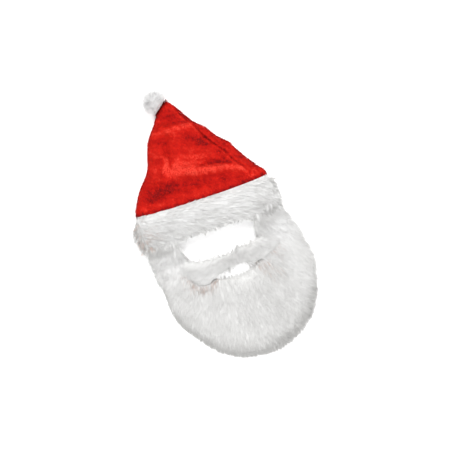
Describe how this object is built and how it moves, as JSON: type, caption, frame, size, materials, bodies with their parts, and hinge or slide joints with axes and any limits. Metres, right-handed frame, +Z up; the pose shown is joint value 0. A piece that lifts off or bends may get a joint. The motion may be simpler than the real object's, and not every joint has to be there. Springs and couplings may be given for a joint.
{
  "type": "plush hat with beard",
  "caption": "Red plush cone hat with a white fur band and pompom, a fur beard sewn into the band and a moustache over its mouth slit, lying flat.",
  "frame": {"origin": "on the surface that the hat lies on, under the middle of the band", "axes": "+Y from the band towards the hat's tip, +Z up from the surface, +X to the right as the beard faces up"},
  "size_m": [0.332, 0.5744, 0.054],
  "materials": {
    "red_plush": "short brushed pile",
    "white_fur": "long soft pile",
    "pompom_fur": "long soft pile"
  },
  "bodies": {
    "root": {"crown": "red_plush", "band": "white_fur", "pompom": "pompom_fur", "beard": "white_fur", "moustache": "white_fur"}
  },
  "joints": []
}
